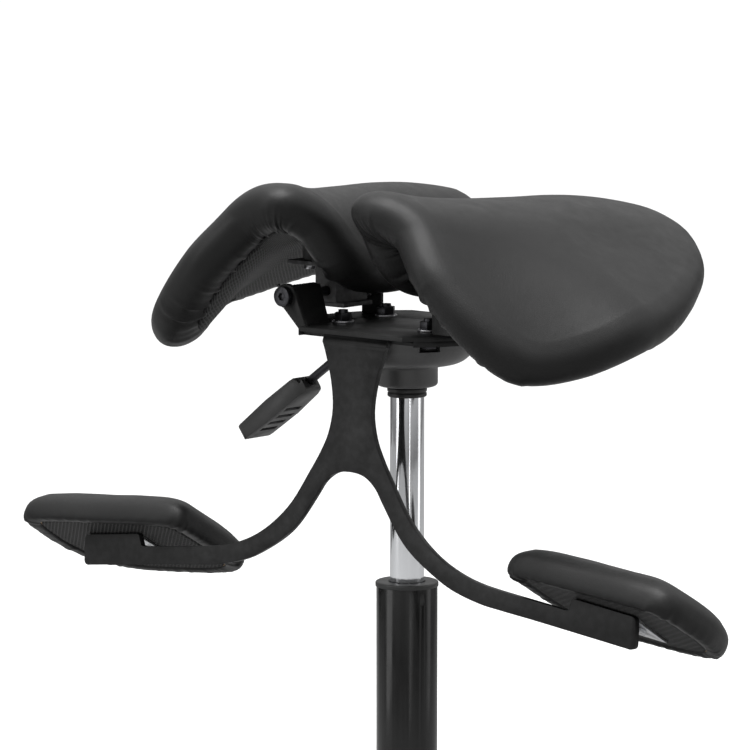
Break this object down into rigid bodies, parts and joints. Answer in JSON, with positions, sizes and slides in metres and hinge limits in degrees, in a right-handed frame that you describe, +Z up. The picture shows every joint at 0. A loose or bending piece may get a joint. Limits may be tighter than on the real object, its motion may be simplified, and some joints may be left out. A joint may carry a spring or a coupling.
{
  "type": "kneeling massage chair",
  "caption": "Height-adjustable kneeling stool with a split, tilting saddle seat, padded knee supports on a bent plate, gas lift, height lever and star base on casters.",
  "frame": {"origin": "on the floor, on the column axis", "axes": "+Z up, knee supports towards -Y, sitter's left at +X"},
  "size_m": [0.6896, 0.5896, 0.6822],
  "materials": {
    "frame_black": "fine-textured satin powder coat",
    "base_black": "satin powder coat",
    "bush_plastic": "matt",
    "bearing_steel": "ground",
    "caster_plastic": "moulded, matt",
    "caster_tread": "soft tread, matt",
    "steel": "plain turned steel",
    "chrome": "hard chrome, polished",
    "fastener_black": "black oxide",
    "zinc": "bright zinc plate",
    "bracket_grey": "dark grey powder coat",
    "board_wood": "plain plywood",
    "shell_plastic": "moulded, matt",
    "leather": "fine-grained, satin",
    "mesh_fabric": "open knitted mesh",
    "grip_plastic": "moulded, matt"
  },
  "bodies": {
    "base": {"star_base": "base_black", "outer_tube": "frame_black", "guide_bush": "bush_plastic", "tube_top_ring": "bush_plastic", "bearing_race_lower": "bearing_steel", "bearing_balls": "bearing_steel", "caster_stems": "steel"},
    "piston": {"piston_rod": "steel", "piston_head": "bush_plastic", "bearing_race_upper": "bearing_steel", "rod_clip": "steel"},
    "carriage": {"pressure_tube": "chrome", "tube_end_guide": "bush_plastic", "retaining_ring": "frame_black", "bell_housing": "frame_black", "knee_frame": "frame_black", "seat_channel": "frame_black", "plate_bolts": "fastener_black", "plate_nuts": "fastener_black", "plate_washers": "steel", "hinge_pin_right": "fastener_black", "hinge_pin_left": "fastener_black", "hinge_nuts": "steel", "lever_pivot_pin": "steel", "pad_bracket_right": "zinc", "pad_bracket_left": "zinc", "pad_board_right": "board_wood", "pad_board_left": "board_wood", "pad_cushion_right": "leather", "pad_cushion_left": "leather", "pad_bolts": "zinc", "pad_screws": "zinc"},
    "height_lever": {"lever_rod": "fastener_black", "lever_grip": "grip_plastic"},
    "valve": {"valve_pin": "steel"},
    "seat_half_right": {"seat_bracket_right": "bracket_grey", "seat_shell_right": "shell_plastic", "seat_cushion_right": "leather", "dust_cover_right": "mesh_fabric", "seat_screws_right": "steel"},
    "seat_half_left": {"seat_bracket_left": "bracket_grey", "seat_shell_left": "shell_plastic", "seat_cushion_left": "leather", "dust_cover_left": "mesh_fabric", "seat_screws_left": "steel"},
    "caster_1": {"caster_hood_1": "caster_plastic", "caster_axles_1": "steel"},
    "caster_wheel_1": {"caster_wheels_1": "caster_tread"},
    "caster_2": {"caster_hood_2": "caster_plastic", "caster_axles_2": "steel"},
    "caster_wheel_2": {"caster_wheels_2": "caster_tread"},
    "caster_3": {"caster_hood_3": "caster_plastic", "caster_axles_3": "steel"},
    "caster_wheel_3": {"caster_wheels_3": "caster_tread"},
    "caster_4": {"caster_hood_4": "caster_plastic", "caster_axles_4": "steel"},
    "caster_wheel_4": {"caster_wheels_4": "caster_tread"},
    "caster_5": {"caster_hood_5": "caster_plastic", "caster_axles_5": "steel"},
    "caster_wheel_5": {"caster_wheels_5": "caster_tread"}
  },
  "joints": [
    {"name": "seat_swivel", "type": "hinge", "parent": "base", "child": "piston", "pos_m": [0, 0, 0.08], "axis": [0, 0, 1], "continuous": true},
    {"name": "seat_height", "type": "slide", "parent": "piston", "child": "carriage", "axis": [0, 0, 1], "range_m": [-0.13, 0.03]},
    {"name": "lever_lift", "type": "hinge", "parent": "carriage", "child": "height_lever", "pos_m": [-0.022, 0, 0.547], "axis": [0, 1, 0], "range_deg": [0, 6], "stiffness_Nm_per_rad": 0.5},
    {"name": "valve_press", "type": "slide", "parent": "carriage", "child": "valve", "axis": [0, 0, 1], "range_m": [-0.004, 0]},
    {"name": "half_tilt_right", "type": "hinge", "parent": "carriage", "child": "seat_half_right", "pos_m": [-0.07, 0, 0.588], "axis": [0, 1, 0], "range_deg": [-4, 4], "stiffness_Nm_per_rad": 60},
    {"name": "half_tilt_left", "type": "hinge", "parent": "carriage", "child": "seat_half_left", "pos_m": [0.07, 0, 0.588], "axis": [0, 1, 0], "range_deg": [-4, 4], "stiffness_Nm_per_rad": 60},
    {"name": "caster_swivel_1", "type": "hinge", "parent": "base", "child": "caster_1", "pos_m": [0, -0.29, 0.065], "axis": [0, 0, 1], "continuous": true},
    {"name": "caster_roll_1", "type": "hinge", "parent": "caster_1", "child": "caster_wheel_1", "pos_m": [0, -0.272, 0.025], "axis": [1, 0, 0], "continuous": true},
    {"name": "caster_swivel_2", "type": "hinge", "parent": "base", "child": "caster_2", "pos_m": [0.27581, -0.08962, 0.065], "axis": [0, 0, 1], "continuous": true},
    {"name": "caster_roll_2", "type": "hinge", "parent": "caster_2", "child": "caster_wheel_2", "pos_m": [0.27581, -0.07161, 0.025], "axis": [1, 0, 0], "continuous": true},
    {"name": "caster_swivel_3", "type": "hinge", "parent": "base", "child": "caster_3", "pos_m": [0.17046, 0.23461, 0.065], "axis": [0, 0, 1], "continuous": true},
    {"name": "caster_roll_3", "type": "hinge", "parent": "caster_3", "child": "caster_wheel_3", "pos_m": [0.17046, 0.25261, 0.025], "axis": [1, 0, 0], "continuous": true},
    {"name": "caster_swivel_4", "type": "hinge", "parent": "base", "child": "caster_4", "pos_m": [-0.17046, 0.23461, 0.065], "axis": [0, 0, 1], "continuous": true},
    {"name": "caster_roll_4", "type": "hinge", "parent": "caster_4", "child": "caster_wheel_4", "pos_m": [-0.17046, 0.25261, 0.025], "axis": [1, 0, 0], "continuous": true},
    {"name": "caster_swivel_5", "type": "hinge", "parent": "base", "child": "caster_5", "pos_m": [-0.27581, -0.08962, 0.065], "axis": [0, 0, 1], "continuous": true},
    {"name": "caster_roll_5", "type": "hinge", "parent": "caster_5", "child": "caster_wheel_5", "pos_m": [-0.27581, -0.07161, 0.025], "axis": [1, 0, 0], "continuous": true}
  ],
  "couplings": [
    {"joint": "valve_press", "follows": "lever_lift", "m_per_rad": -0.022}
  ]
}
